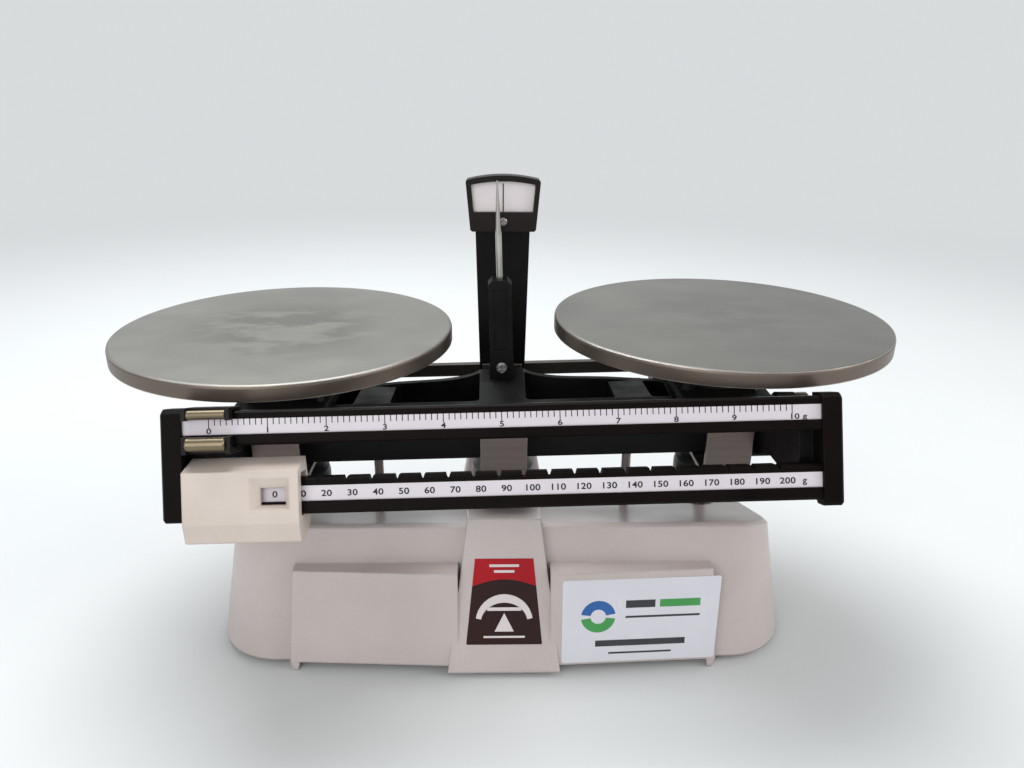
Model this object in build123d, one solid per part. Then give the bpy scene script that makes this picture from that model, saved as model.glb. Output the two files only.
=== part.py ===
"""Two-pan trip balance with two graduated front beams.

Millimetres. X runs to the right along the beam, Y away from the user, Z up.
Each piece is modelled with the fulcrum knife edge at X = Y = 0 and the table at Z = 0.
The whole is then moved along Y, so that the origin is under the middle of its depth.
The beam group is modelled level and then turned by the rest tilt, left pan low.
"""

import os
from math import cos, radians, sin, tan

from build123d import *

# Driving dimensions of the weighing mechanism
plate_diameter = 152.4
arm_length = 100.2
fulcrum_height = 95.0
link_height = 21.0
rest_tilt = 1.5
travel_tilt = 3.0
knife_relief = 0.05
running_gap = 0.06
seat_gap = 0.3
screw_gap = 0.05
slide_gap = 0.4
stop_gap = 0.1

# Base housing
base_end = 31.3
base_foot_depth = 132.0
base_foot_radius = 30.0
base_end_draft = 13.5
base_front_draft = 11.5
base_top_radius = 13.0
base_rim_height = 3.0
base_clearance = 29.5
base_top_slope = 21.3
base_wall = 3.2
base_edge_bevel = 1.8
spine_foot_width = 49.4
spine_top_width = 31.4
spine_proud = 9.2
spine_top_back = 16.8
spine_back = 36.0
spine_step = 4.5
spine_rim_height = 2.4
panel_rim_height = 4.6
panel_drop = 17.2
panel_inner_half = 20.0
panel_end_margin = 37.0
panel_end_draft = 3.5
panel_proud = 7.3
panel_outer_proud = 3.6
panel_draft = 5.4
panel_overlap = 16.0
panel_leg_width = 4.2
panel_leg_depth = 6.0
pedestal_width = 50.0
pedestal_depth = 30.0
pedestal_corner = 12.0
pedestal_margin = 4.0
pedestal_top_corner = 5.0
pedestal_start = 18.0

# Openings and feet of the base
stem_hole_diameter = 13.0
foot_diameter = 17.0
foot_height = 9.0
foot_bevel = 1.5
foot_end_margin = 26.5
foot_front_margin = 24.0
foot_boss_wall = 2.0
foot_boss_height = 60.0

# Straddling brackets, the same section at the fulcrum and at both pans
bracket_width = 20.6
bracket_span = 77.0
bracket_plate = 2.0
bracket_drop = 19.0
bracket_rise = 11.5
bracket_bend = 4.0
bracket_hole = 2.6
bracket_hole_drop = 13.0
bearing_thickness = 10.5
bearing_width = 14.0
bearing_groove = 3.5
bearing_groove_half_angle = 60.0
bearing_height = 12.5
knife_width = 7.0
knife_slope = 6.0
knife_depth = 10.0
knife_setback = 1.5
knife_room = 1.1
knife_swing = 4.0

# Pan parts
carrier_width = 40.0
carrier_thickness = 3.6
carrier_corner = 5.0
carrier_rib = 3.2
carrier_rib_low = 24.0
carrier_rib_high = 14.0
pan_rise = 45.7
plate_rim = 6.6
plate_sheet = 1.2
plate_bevel = 1.2
plate_ring = 30.0
support_diameter = 64.0
support_thickness = 4.0
support_bevel = 1.2
neck_diameter = 30.0
stem_diameter = 6.0
fork_width = 10.0
fork_above = 10.0
fork_below = 8.0
cap_diameter = 28.7
cap_neck = 17.6
cap_height = 18.0
cap_neck_height = 5.1
cap_shoulder_height = 5.0
cap_wall = 2.4

# Main beam
beam_half_depth = 18.0
beam_wall = 3.5
beam_drop = 15.5
beam_rise = 12.0
arch_rise = 15.8
arch_low_rise = 10.3
end_rise = 8.0
end_length = 27.8
end_corner = 3.0
boss_half_width = 10.8
boss_flare = 8.0
arch_dip = 3.0
pocket_margin = 19.7
rib_start = 47.7
rib_end = 30.7
rib_drop = 1.2
pocket_corner = 3.0
end_pocket_margin = 8.2
ballast_height = 9.0
wall_ramp = 2.5

# Front frame that carries both graduated beams
frame_margin = 17.8
frame_reach = 85.0
frame_rise = 40.7
frame_slope = 20.25
end_plate_width = 7.6
end_plate_depth = 10.0
end_plate_height = 42.0
end_plate_bevel = 0.9
beam_setback = 1.5
beam_lip = 0.9
beam_flange = 2.6
upper_beam_start = 1.2
upper_strip_start = 4.2
upper_beam_end = 14.0
lower_beam_start = 26.4
lower_strip_start = 29.4
lower_beam_end = 39.8
graduated_depth = 6.0
strip_height = 5.7
strip_thickness = 0.5
notch_margin = 30.6
notch_end_margin = 16.0
notch_count = 21
notch_depth = 2.0
notch_width = 1.9

# Lower poise
lower_poise_margin = 1.0
lower_poise_width = 42.3
lower_poise_front = 3.5
lower_poise_roof = 23.2
lower_poise_brow = 42.5
lower_poise_skirt = 8.1
lower_poise_floor = 15.2
lower_poise_back = 12.1
lower_poise_edge = 1.0
window_margin = 33.4
window_drop = 32.7
window_width = 9.2
window_height = 6.4
window_bevel = 5.4
window_shift = 0.8
window_rise = 1.3
detent_width = 18.0
detent_thickness = 0.8

# Upper poise
upper_poise_margin = 1.4
upper_poise_width = 17.6
upper_cheek = 1.6
upper_poise_wall = 2.2
upper_poise_front = 3.4
upper_rod_diameter = 3.4
upper_rod_drop = 2.3
lower_rod_diameter = 5.2
lower_rod_drop = 13.0
rod_stand_off = 1.5
rod_bevel = 0.4
reading_gap_top = 4.4
reading_gap_bottom = 10.2

# Tare beam at the back
tare_reach = 52.0
tare_beam_thickness = 4.0
tare_beam_height = 6.5
tare_beam_rise = 7.0
tare_poise_margin = 18.2
tare_poise_width = 22.0
tare_poise_front = 2.6
tare_poise_back = 6.0
tare_poise_above = 3.0
tare_poise_below = 8.0
tare_poise_bevel = 1.5

# Pointer, tower and dial
pointer_y = 9.0
holder_width = 11.0
holder_depth = 10.0
holder_rise = 64.0
holder_foot = 14.0
holder_flare = 0.6
holder_bevel = 2.0
needle_diameter = 2.9
needle_tip = 0.7
needle_rise = 108.6
needle_taper = 24.0
needle_seat = 20.0
tower_back_gap = 0.9
tower_depth = 6.5
tower_low_width = 22.2
tower_high_width = 27.8
tower_wall = 2.4
tower_margin = 9.2
dial_front = 14.0
dial_depth = 8.0
dial_below = 23.8
dial_above = 0.6
dial_crown = 2.2
dial_low_width = 30.4
dial_high_width = 34.4
dial_frame = 2.2
dial_plate = 0.8
window_low_margin = 8.8
window_high_margin = 2.0
window_crown = 1.6
dial_corner = 0.8

# Zero adjustment at the right end of the beam
stud_diameter = 5.0
stud_length = 22.5
nut_diameter = 12.6
nut_width = 10.8
nut_offset = 3.8
nut_bevel = 0.6
lock_nut_width = 5.4
lock_nut_diameter = 12.0

# Arms from the beam's ends to the front frame and to the tare beam
arm_thickness = 8.0
arm_overlap = 3.0
arm_end_inset = 3.0
arm_clearance = 0.9
arm_screw_margin = 1.3
arm_screw_drop = 4.0
arm_screw_diameter = 4.0
arm_pad = 8.0
pad_margin = 1.0
driver_room = 14.0
driver_gap = 0.4
pointer_screw_diameter = 2.9
pointer_screw_rise = 21.5
dial_screw_diameter = 1.9
dial_screw_rise = 4.7

# Check link under the base, fulcrum post and stops
link_thickness = 3.0
link_width = 10.0
link_slot_gap = 0.5
link_pin_diameter = 4.0
hanger_width = 14.0
hanger_depth = 12.0
hanger_below = 7.0
hanger_slot = 9.0
post_diameter = 31.2
post_neck = 21.0
post_skirt_drop = 32.0
post_shoulder_drop = 23.5
post_start = 4.0
stop_diameter = 4.7
stop_margin = 38.6

# Values that follow from the sizes above
knife_z = fulcrum_height
top_rise = tan(radians(base_top_slope))
tilt_rad = radians(rest_tilt)
travel_rad = radians(travel_tilt)
lean = radians(frame_slope)
rest_rise = arm_length * sin(tilt_rad)
rest_inset = arm_length * (1 - cos(tilt_rad))
base_half_length = arm_length + base_end
base_front_height = fulcrum_height - base_clearance
base_top_front = base_foot_depth / 2 - base_front_draft
spine_foot_front = base_foot_depth / 2 + spine_proud
spine_top_front = spine_foot_front - spine_top_back
spine_height = base_front_height + spine_step
panel_height = base_front_height - panel_drop
panel_foot_half = base_half_length - panel_end_margin
foot_x = base_half_length - foot_end_margin
foot_y = base_foot_depth / 2 - foot_front_margin
bracket_floor = knife_z - bracket_drop
bracket_top = knife_z + bracket_rise
cap_floor = bracket_floor - cap_height
pan_height = knife_z + pan_rise
plate_floor = pan_height - plate_rim
support_low = plate_floor - support_thickness - seat_gap
beam_bottom = knife_z - beam_drop
beam_top = knife_z + beam_rise
arch_top = knife_z + arch_rise
arch_low = knife_z + arch_low_rise
end_top = knife_z + end_rise
beam_half_length = arm_length + end_length
pocket_end = arm_length - pocket_margin
rib_inner = arm_length - rib_start
rib_outer = arm_length - rib_end
end_pocket_start = arm_length + end_pocket_margin
frame_half_length = arm_length + frame_margin
arm_outer = frame_half_length + arm_overlap
arm_screw_x = arm_outer + arm_screw_margin
arm_screw_z = knife_z - arm_screw_drop
stop_x = arm_length - stop_margin
tower_front = bracket_span / 2 + tower_back_gap
tower_middle = tower_front + tower_depth / 2
tower_low = bracket_floor - seat_gap
needle_top = knife_z + needle_rise
dial_top_corner = needle_top - dial_above
dial_bottom = needle_top - dial_below
dial_screw_z = dial_bottom + dial_screw_rise
window_low = dial_bottom + window_low_margin
window_high = dial_top_corner - window_high_margin
tower_top = needle_top - tower_margin
holder_top = knife_z + holder_rise
pointer_screw_z = knife_z + pointer_screw_rise
tare_top = knife_z + tare_beam_rise
tare_low = tare_top - tare_beam_height
upper_poise_left = -frame_half_length + upper_poise_margin
lower_poise_left = -frame_half_length + lower_poise_margin
window_centre = -frame_half_length + window_margin
front = Plane(
    origin=(0, -frame_reach, knife_z + frame_rise),
    x_dir=(1, 0, 0),
    z_dir=(0, -cos(lean), sin(lean)),
)
reach = 4 * base_half_length


def block(x0, x1, y0, y1, z0, z1):
    """A box given by its limits."""
    middle = ((x0 + x1) / 2, (y0 + y1) / 2, (z0 + z1) / 2)
    return Pos(*middle) * Box(x1 - x0, y1 - y0, z1 - z0)


def slab(points, x0, x1):
    """A polygon of (Y, Z) points, extruded along X."""
    face = make_face(Polyline(*[(0, y, z) for y, z in points], close=True))
    return Pos(x0, 0, 0) * extrude(face, amount=x1 - x0, dir=(1, 0, 0))


def profile(points, y0, y1):
    """A polygon of (X, Z) points, extruded along Y."""
    face = make_face(Polyline(*[(x, 0, z) for x, z in points], close=True))
    return Pos(0, y0, 0) * extrude(face, amount=y1 - y0, dir=(0, 1, 0))


def rod_x(diameter, x0, x1, y, z):
    return Pos((x0 + x1) / 2, y, z) * Rot(0, 90, 0) * Cylinder(diameter / 2, x1 - x0)


def rod_y(diameter, y0, y1, x, z):
    return Pos(x, (y0 + y1) / 2, z) * Rot(90, 0, 0) * Cylinder(diameter / 2, y1 - y0)


def rod_z(diameter, z0, z1, x=0.0, y=0.0):
    return Pos(x, y, (z0 + z1) / 2) * Cylinder(diameter / 2, z1 - z0)


def face_block(x0, x1, down0, down1, out0, out1):
    """A box on the sloping front: distance down the face and out of it."""
    size = Box(x1 - x0, down1 - down0, out1 - out0)
    return front.location * Pos((x0 + x1) / 2, -(down0 + down1) / 2, (out0 + out1) / 2) * size


def face_point(down, out):
    """The (Y, Z) of a point on the sloping front."""
    y = -frame_reach - down * sin(lean) - out * cos(lean)
    z = knife_z + frame_rise - down * cos(lean) + out * sin(lean)
    return (y, z)


def face_slab(points, x0, x1):
    """A polygon of (down, out) points on the sloping front, extruded along X."""
    return slab([face_point(down, out) for down, out in points], x0, x1)


def with_beam(shape):
    """Turn a level piece of the beam group to the rest tilt."""
    return Pos(0, 0, knife_z) * Rot(0, -rest_tilt, 0) * Pos(0, 0, -knife_z) * shape


def with_pan(side, shape):
    """Move a level piece, modelled at X = 0, to its pan at rest."""
    return Pos(side * (arm_length - rest_inset), 0, side * rest_rise) * shape


def mirrored(shape, side):
    return shape if side > 0 else mirror(shape, Plane.YZ)


def cross_head_screw(diameter, length):
    """A cross-head screw along +Z with its head's seat at the origin."""
    head = rod_z(2 * diameter, 0, diameter * 0.7)
    head = chamfer(head.edges().group_by(Axis.Z)[-1], diameter * 0.25)
    slot = Box(diameter * 1.3, diameter * 0.28, diameter * 0.5)
    cross = slot + Rot(0, 0, 90) * slot
    head -= Pos(0, 0, diameter * 0.7) * cross
    return head + rod_z(diameter, -length, 0)


# Base housing: a drafted shell whose top falls away to the back

def slope_block(y, z):
    """Everything under the sloping top through the point (y, z)."""
    top = Plane(origin=(0, y, z), z_dir=(0, top_rise, 1))
    return top.location * Pos(0, 0, -reach / 2) * Box(reach, reach, reach)


def deck_height(y):
    """Height of the sloping deck at a given Y."""
    return base_front_height - (y + base_top_front) * top_rise


def quad(z, corners):
    return Pos(0, 0, z) * make_face(Polyline(*corners, close=True))


def drafted_body(inset, low):
    """The plain drafted body, or its inside when inset is the wall."""
    foot = Pos(0, 0, low) * RectangleRounded(
        2 * (base_half_length - inset), base_foot_depth - 2 * inset, base_foot_radius - inset)
    roof = Pos(0, 0, base_front_height + base_wall) * RectangleRounded(
        2 * (base_half_length - base_end_draft - inset), 2 * (base_top_front - inset), base_top_radius - inset)
    return loft([foot, roof]) & slope_block(-base_top_front, base_front_height - inset)


def spine_body(inset, low):
    """The central pylon and the ridge behind it."""
    high = spine_height + spine_step
    over = (high - spine_rim_height) / (spine_height - spine_rim_height)
    foot_half = spine_foot_width / 2 - inset
    foot_front = -spine_foot_front + inset
    roof_half = foot_half - (spine_foot_width - spine_top_width) / 2 * over
    roof_front = foot_front + spine_top_back * over
    back = spine_back - inset
    foot = quad(low, [(-foot_half, foot_front), (foot_half, foot_front), (foot_half, back), (-foot_half, back)])
    roof = quad(high, [(-roof_half, roof_front), (roof_half, roof_front), (roof_half, back), (-roof_half, back)])
    return loft([foot, roof]) & slope_block(-spine_top_front, spine_height - inset)


def panel_body(side, inset, low):
    """One raised front panel beside the pylon."""
    back = -base_foot_depth / 2 + panel_overlap
    inner = side * panel_inner_half
    outer = side * (panel_foot_half - inset)
    top_outer = side * (panel_foot_half - panel_end_draft - inset)
    inner_front = -base_foot_depth / 2 - panel_proud + inset
    outer_front = -base_foot_depth / 2 - panel_outer_proud + inset
    foot = quad(low, [(inner, inner_front), (outer, outer_front), (outer, back), (inner, back)])
    roof = quad(panel_height - inset, [(inner, inner_front + panel_draft), (top_outer, outer_front + panel_draft),
                                       (top_outer, back), (inner, back)])
    return loft([foot, roof])


def panel_leg(side):
    """The small moulded leg under a panel's outer corner."""
    x0 = side * (panel_foot_half - panel_leg_width)
    x1 = side * panel_foot_half
    y0 = -base_foot_depth / 2 - panel_outer_proud
    y1 = y0 + panel_leg_depth
    taper = side * panel_leg_width / 4
    foot = quad(seat_gap, [(x0 + taper, y0), (x1 - taper, y0), (x1 - taper, y1), (x0 + taper, y1)])
    roof = quad(panel_rim_height, [(x0, y0), (x1, y0), (x1, y1), (x0, y1)])
    return loft([foot, roof])


def pedestal():
    """The pedestal that carries the tower, behind the fulcrum bracket."""
    low = Pos(0, tower_middle, pedestal_start) * RectangleRounded(pedestal_width, pedestal_depth, pedestal_corner)
    high = Pos(0, tower_middle, tower_low) * RectangleRounded(
        tower_low_width + 2 * pedestal_margin, tower_depth + 2 * pedestal_margin, pedestal_top_corner)
    return loft([low, high])


def make_base_housing():
    body = drafted_body(0, base_rim_height)
    body = chamfer(body.faces().sort_by(Axis.Z)[-1].edges(), base_edge_bevel)
    shell = body + spine_body(0, spine_rim_height) + pedestal()
    inside = drafted_body(base_wall, 0) + spine_body(base_wall, 0)
    for side in (-1, 1):
        shell += panel_body(side, 0, panel_rim_height)
        shell += panel_leg(side)
        inside += panel_body(side, base_wall, 0)
    shell -= inside
    room = drafted_body(base_wall / 2, 0)
    boss_diameter = foot_diameter + 2 * foot_boss_wall
    for x in (-foot_x, foot_x):
        for y in (-foot_y, foot_y):
            shell += rod_z(boss_diameter, foot_height - base_wall, foot_boss_height, x, y) & room
            shell -= rod_z(foot_diameter, 0, foot_height, x, y)
    for x in (-arm_length, arm_length):
        shell -= rod_z(stem_hole_diameter, link_height, fulcrum_height, x, 0)
    return shell


def make_feet():
    foot = rod_z(foot_diameter - 2 * slide_gap, 0, foot_height)
    foot = chamfer(foot.edges().group_by(Axis.Z)[0], foot_bevel)
    return Compound([Pos(x, y, 0) * foot for x in (-foot_x, foot_x) for y in (-foot_y, foot_y)])


# Fulcrum: post, bracket, bearings and stops

def make_fulcrum_post():
    low = spine_height - (spine_top_front + post_diameter / 2) * top_rise - post_start
    skirt = knife_z - post_skirt_drop
    shoulder = knife_z - post_shoulder_drop
    wide = post_diameter / 2
    neck = post_neck / 2
    outline = make_face(Polyline(
        (0, 0, low), (wide, 0, low), (wide, 0, skirt), (wide - 0.6, 0, (skirt + shoulder) / 2 + 1),
        ((wide + neck) / 2, 0, shoulder - 1), (neck, 0, shoulder + 1), (neck, 0, bracket_floor),
        (0, 0, bracket_floor), close=True))
    return revolve(outline, Axis.Z) - slope_block(-spine_top_front, spine_height)


def make_bracket():
    """A U bracket round the beam, open at the top."""
    half = bracket_span / 2
    side = bracket_width / 2
    inner_half = half - bracket_plate
    outer = block(-side, side, -half, half, bracket_floor, bracket_top)
    outer = fillet(outer.edges().filter_by(Axis.X).group_by(Axis.Z)[0], bracket_bend)
    inner = block(-bracket_width, bracket_width, -inner_half, inner_half,
                  bracket_floor + bracket_plate, bracket_top + bracket_width)
    inner = fillet(inner.edges().filter_by(Axis.X).group_by(Axis.Z)[0], bracket_bend - bracket_plate)
    return outer - inner - rod_y(bracket_hole, -bracket_span, bracket_span, 0, knife_z - bracket_hole_drop)


def bearing_pair(up):
    """Two grooved bearing blocks on the bracket's legs; up says which way the groove opens."""
    out = bracket_span / 2 - bracket_plate
    way = 1 if up else -1
    half = bearing_width / 2
    mouth = knife_z + way * bearing_groove
    back = mouth - way * bearing_height
    wide = bearing_groove * tan(radians(bearing_groove_half_angle))
    outline = [(-half, back), (half, back), (half, mouth), (wide, mouth), (0, knife_z), (-wide, mouth),
               (-half, mouth)]
    return Compound([profile(outline, -out, -out + bearing_thickness), profile(outline, out - bearing_thickness, out)])


def knife_outline(up):
    """A pentagon whose edge lies on the pivot line, pointing up or down."""
    way = 1 if up else -1
    half = knife_width / 2
    return [(0, knife_z - way * knife_relief), (half, knife_z - way * knife_slope),
            (half, knife_z - way * knife_depth), (-half, knife_z - way * knife_depth),
            (-half, knife_z - way * knife_slope)]


def knife(up):
    """A hardened knife edge that reaches into the bearings on both sides of the beam."""
    half = bracket_span / 2 - bracket_plate - knife_setback
    return profile(knife_outline(up), -half, half)


def knife_room_cut(up, end):
    """The room in the beam round a knife's edge, out to the level end."""
    way = 1 if up else -1
    half = knife_width / 2
    start = knife_z - way * (knife_slope + stop_gap)
    near = half + knife_room
    far = near + knife_swing
    return profile([(-near, start), (near, start), (far, end), (-far, end)], -reach, reach)


def make_stop_posts():
    top = beam_bottom - (stop_x + stop_diameter / 2) * tan(travel_rad) - stop_gap
    posts = []
    for side in (-1, 1):
        post = rod_z(stop_diameter, deck_height(stop_diameter) - stop_diameter, top, side * stop_x, 0)
        posts.append(post - slope_block(-base_top_front, base_front_height))
    return Compound(posts)


# Tower and dial

def make_tower():
    """A channel column, open at the back, with a head that reaches forward to the dial."""
    outer = loft([
        Pos(0, tower_middle, tower_low) * Rectangle(tower_low_width, tower_depth),
        Pos(0, tower_middle, tower_top) * Rectangle(tower_high_width, tower_depth)])
    hollow = loft([
        Pos(0, tower_middle + tower_wall, tower_low + tower_wall)
        * Rectangle(tower_low_width - 2 * tower_wall, tower_depth),
        Pos(0, tower_middle + tower_wall, tower_top - tower_wall)
        * Rectangle(tower_high_width - 2 * tower_wall, tower_depth)])
    head_half = dial_low_width / 2 - 2 * dial_frame
    head = block(-head_half, head_half, dial_front + dial_depth, tower_front + tower_wall / 2,
                 dial_bottom + dial_frame, tower_top)
    return outer - hollow + head


def dial_outline(inset, low, high, crown):
    """The dial's tapered outline with its arched top."""
    def half(z):
        share = (z - dial_bottom) / (dial_top_corner - dial_bottom)
        return (dial_low_width + (dial_high_width - dial_low_width) * share) / 2 - inset
    sides = Polyline((-half(high), 0, high), (-half(low), 0, low), (half(low), 0, low), (half(high), 0, high))
    arch = ThreePointArc((half(high), 0, high), (0, 0, high + crown), (-half(high), 0, high))
    return make_face(sides + arch)


def dial_window(y, depth):
    outline = dial_outline(dial_frame, window_low, window_high, window_crown)
    return Pos(0, y, 0) * extrude(outline, amount=depth, dir=(0, 1, 0))


def make_dial_housing():
    body = Pos(0, dial_front, 0) * extrude(
        dial_outline(0, dial_bottom, dial_top_corner, dial_crown), amount=dial_depth, dir=(0, 1, 0))
    body = chamfer(body.edges().filter_by(Axis.Y), dial_corner)
    body -= dial_window(dial_front - dial_plate, dial_frame + 2 * dial_plate)
    return body - rod_y(dial_screw_diameter + 2 * screw_gap, 0, dial_front + dial_depth, 0, dial_screw_z)


def make_dial_face():
    return dial_window(dial_front + dial_frame, dial_plate)


def make_dial_screw():
    screw = cross_head_screw(dial_screw_diameter, dial_depth)
    return Pos(0, dial_front, dial_screw_z) * Rot(90, 0, 0) * screw


# Main beam

def rear_wall(side):
    """One half of the arched rear wall."""
    half = beam_half_depth
    inner = side * boss_half_width
    arch = Spline(
        (inner, 0, arch_top), (inner + side * boss_flare, 0, arch_top - arch_dip),
        (side * rib_inner, 0, arch_low), tangents=[(side, 0, -0.8), (side, 0, -0.06)])
    rest = Polyline(
        (side * rib_inner, 0, arch_low), (side * pocket_end, 0, end_top), (side * pocket_end, 0, beam_bottom),
        (inner, 0, beam_bottom), (inner, 0, arch_top))
    return Pos(0, half - beam_wall, 0) * extrude(make_face(arch + rest), amount=beam_wall, dir=(0, 1, 0))


def make_main_beam():
    half = beam_half_depth
    low = beam_bottom
    ramp = pocket_end - wall_ramp
    beam = slab([(-half, low), (half, low), (half, arch_top), (0, arch_top), (-half, beam_top)],
                -boss_half_width, boss_half_width)
    beam += profile([(-pocket_end, low), (pocket_end, low), (pocket_end, end_top), (ramp, beam_top),
                     (-ramp, beam_top), (-pocket_end, end_top)], -half, -half + beam_wall)
    for side in (-1, 1):
        beam += rear_wall(side)
        x0, x1 = sorted((side * rib_inner, side * rib_outer))
        beam += slab([(-half, low), (half, low), (half, arch_low - rib_drop), (-half, beam_top)], x0, x1)
        x0, x1 = sorted((side * pocket_end, side * beam_half_length))
        end = block(x0, x1, -half, half, low, end_top)
        outer = end.edges().filter_by(Axis.Z).filter_by(lambda e: abs(e.center().X) > arm_length)
        beam += fillet(outer, end_corner)
    corners = beam.edges().filter_by(Axis.Z).filter_by(
        lambda e: boss_half_width - 1 < abs(e.center().X) < pocket_end + 1 and abs(e.center().Y) < half - 1)
    beam = fillet(corners, pocket_corner)
    # Hollows under the ends, and the seats of the three knife edges
    for side in (-1, 1):
        x0, x1 = sorted((side * end_pocket_start, side * (beam_half_length - beam_wall)))
        beam -= block(x0, x1, -half + beam_wall, half - beam_wall, low - beam_wall, end_top - beam_wall)
        beam -= Pos(side * arm_length, 0, 0) * knife(True)
        beam -= Pos(side * arm_length, 0, 0) * knife_room_cut(True, end_top + stop_gap)
    return beam - knife(False) - knife_room_cut(False, low - stop_gap)


def make_ballast():
    """The block inside the right end that offsets the poises at zero."""
    half = beam_half_depth - beam_wall
    top = end_top - beam_wall
    return block(end_pocket_start, beam_half_length - beam_wall, -half, half, top - ballast_height, top)


def arm_pad_block(y0, y1):
    """The flat pad where an arm is screwed to the beam's end."""
    x0 = arm_outer - arm_thickness - pad_margin
    return block(x0, beam_half_length - pad_margin, y0, y1, beam_bottom + pad_margin, end_top - pad_margin)


def make_front_arm(side):
    """The arm from a beam end forward to the frame's end plate."""
    near = -beam_half_depth
    pad_front = near - arm_pad
    x0 = arm_outer - arm_thickness
    inner = frame_half_length + seat_gap / 2
    top = face_point(end_plate_height / 5, -end_plate_depth)
    bottom = face_point(end_plate_height - arm_end_inset, -end_plate_depth)
    knee = (near + bottom[0]) / 2
    arm = slab([(near, beam_bottom + 1), (pad_front, beam_bottom + 3), (knee, beam_bottom + 15), bottom, top,
                (top[0] + 8, top[1] - 5), (-bracket_span / 2 - 3, end_top), (near, end_top)], x0, arm_outer)
    arm += arm_pad_block(pad_front, near)
    arm -= face_block(x0 - 1, inner, -end_plate_depth, end_plate_height + end_plate_depth,
                      -end_plate_depth - arm_clearance, end_plate_depth)
    poise_back = -frame_reach - lower_poise_front + lower_poise_back
    arm -= block(x0 - 1, inner, -2 * frame_reach, poise_back - 7, 0, 2 * knife_z)
    arm -= rod_y(arm_screw_diameter + 2 * screw_gap, pad_front, near, arm_screw_x, arm_screw_z)
    arm -= rod_y(2 * (arm_screw_diameter + driver_gap), pad_front - driver_room, pad_front, arm_screw_x, arm_screw_z)
    return mirrored(arm, side)


def make_rear_arm(side):
    """The arm from a beam end back to the tare beam."""
    near = beam_half_depth
    far = tare_reach - tare_beam_thickness / 2
    arm = slab([(near, beam_bottom + 3), (near + 5, beam_bottom + 3), (far - 6, tare_low - 3), (far, tare_low - 1),
                (far, tare_top), (near + 6, end_top - 2), (near, end_top - 2)], arm_outer - arm_thickness, arm_outer)
    return mirrored(arm + arm_pad_block(near, near + arm_pad / 2), side)


def make_arm_screws():
    screws = []
    for side in (-1, 1):
        screw = cross_head_screw(arm_screw_diameter, arm_pad - stop_gap)
        place = Pos(side * arm_screw_x, -beam_half_depth - arm_pad, arm_screw_z)
        screws.append(place * Rot(90, 0, 0) * screw)
    return screws


# Front frame

def make_end_plate(side):
    depth = end_plate_depth
    high = end_plate_height
    bevel = end_plate_bevel
    x0 = frame_half_length
    outline = [(2 * bevel, 0), (0, -2 * bevel), (0, -depth), (high - 4 * bevel, -depth), (high, -depth + 4 * bevel),
               (high, -bevel), (high - bevel, 0)]
    plate = face_slab(outline, x0, x0 + end_plate_width)
    outer = plate.edges().filter_by(lambda e: e.center().X > x0 + end_plate_width - 0.01)
    return mirrored(chamfer(outer, bevel), side)


def graduated_bar(start, strip_start, end):
    """A bar with a shallow seat for its strip and a lip along its lower edge."""
    out = -beam_setback
    back = out - graduated_depth
    strip_end = strip_start + strip_height
    lip = out + beam_lip
    points = [(start + beam_lip, out), (strip_start, out), (strip_start, out - strip_thickness),
              (strip_end, out - strip_thickness), (strip_end, lip - beam_lip / 2), (end - beam_lip, lip),
              (end, out), (end, back + beam_flange), (end - beam_flange, back + beam_flange),
              (end - beam_flange, back), (start, back), (start, out - beam_lip)]
    return face_slab(points, -frame_half_length, frame_half_length)


def make_lower_beam():
    """The lower bar, with a notch for every ten grams along its top."""
    bar = graduated_bar(lower_beam_start, lower_strip_start, lower_beam_end)
    back = -beam_setback - graduated_depth
    first = -frame_half_length + notch_margin
    pitch = (2 * frame_half_length - notch_margin - notch_end_margin) / (notch_count - 1)
    half = notch_width / 2
    cutters = []
    for index in range(notch_count):
        x = first + index * pitch
        cut = make_face(Polyline(
            (x - half, -lower_beam_start), (x + half, -lower_beam_start),
            (x + half / 3, -lower_beam_start - notch_depth), (x - half / 3, -lower_beam_start - notch_depth),
            close=True))
        cutters.append(front.location * Pos(0, 0, back - 1) * extrude(cut, amount=graduated_depth + 2))
    return bar - cutters


def make_strip(start):
    out = -beam_setback
    return face_block(-frame_half_length, frame_half_length, start, start + strip_height,
                      out - strip_thickness, out)


# Poises

def make_lower_poise():
    """A case that hangs over the lower bar, with a bevelled window for the number."""
    x0 = lower_poise_left
    x1 = x0 + lower_poise_width
    roof_y, roof_z = face_point(lower_poise_roof, lower_poise_front)
    brow_y, brow_z = face_point(lower_poise_brow, lower_poise_front)
    back_y = roof_y + lower_poise_back
    floor_z = brow_z - lower_poise_skirt
    case = slab([(roof_y, roof_z), (brow_y, brow_z), (brow_y, floor_z), (brow_y + lower_poise_floor, floor_z),
                 (back_y, roof_z - lower_poise_back + 2), (back_y, roof_z)], x0, x1)
    case = chamfer(case.edges().filter_by(Axis.X).group_by(Axis.Z)[0], lower_poise_edge)
    out = beam_lip - beam_setback + slide_gap
    back = -beam_setback - graduated_depth - slide_gap
    start = lower_beam_start - detent_thickness - 3 * slide_gap
    case -= face_block(x0 - 1, x1 + 1, start, lower_beam_end + slide_gap, back, out)
    middle = front.location * Pos(window_centre, -window_drop, 0)
    case -= middle * Pos(0, 0, out) * Box(window_width, window_height, 2 * lower_poise_front)
    bevel = loft([
        middle * Pos(0, 0, lower_poise_front / 3) * Rectangle(window_width, window_height),
        middle * Pos(-window_shift, window_rise, lower_poise_front + stop_gap)
        * Rectangle(window_width + window_bevel, window_height + window_bevel)])
    return case - bevel


def make_lower_detent():
    """The leaf under the case's roof that drops into the bar's notches."""
    x = lower_poise_left + lower_poise_width / 2
    start = lower_beam_start - detent_thickness - 3 * slide_gap
    back = -beam_setback - graduated_depth
    return face_block(x - detent_width / 2, x + detent_width / 2, start, start + detent_thickness,
                      back + 1, -beam_setback - 1)


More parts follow.
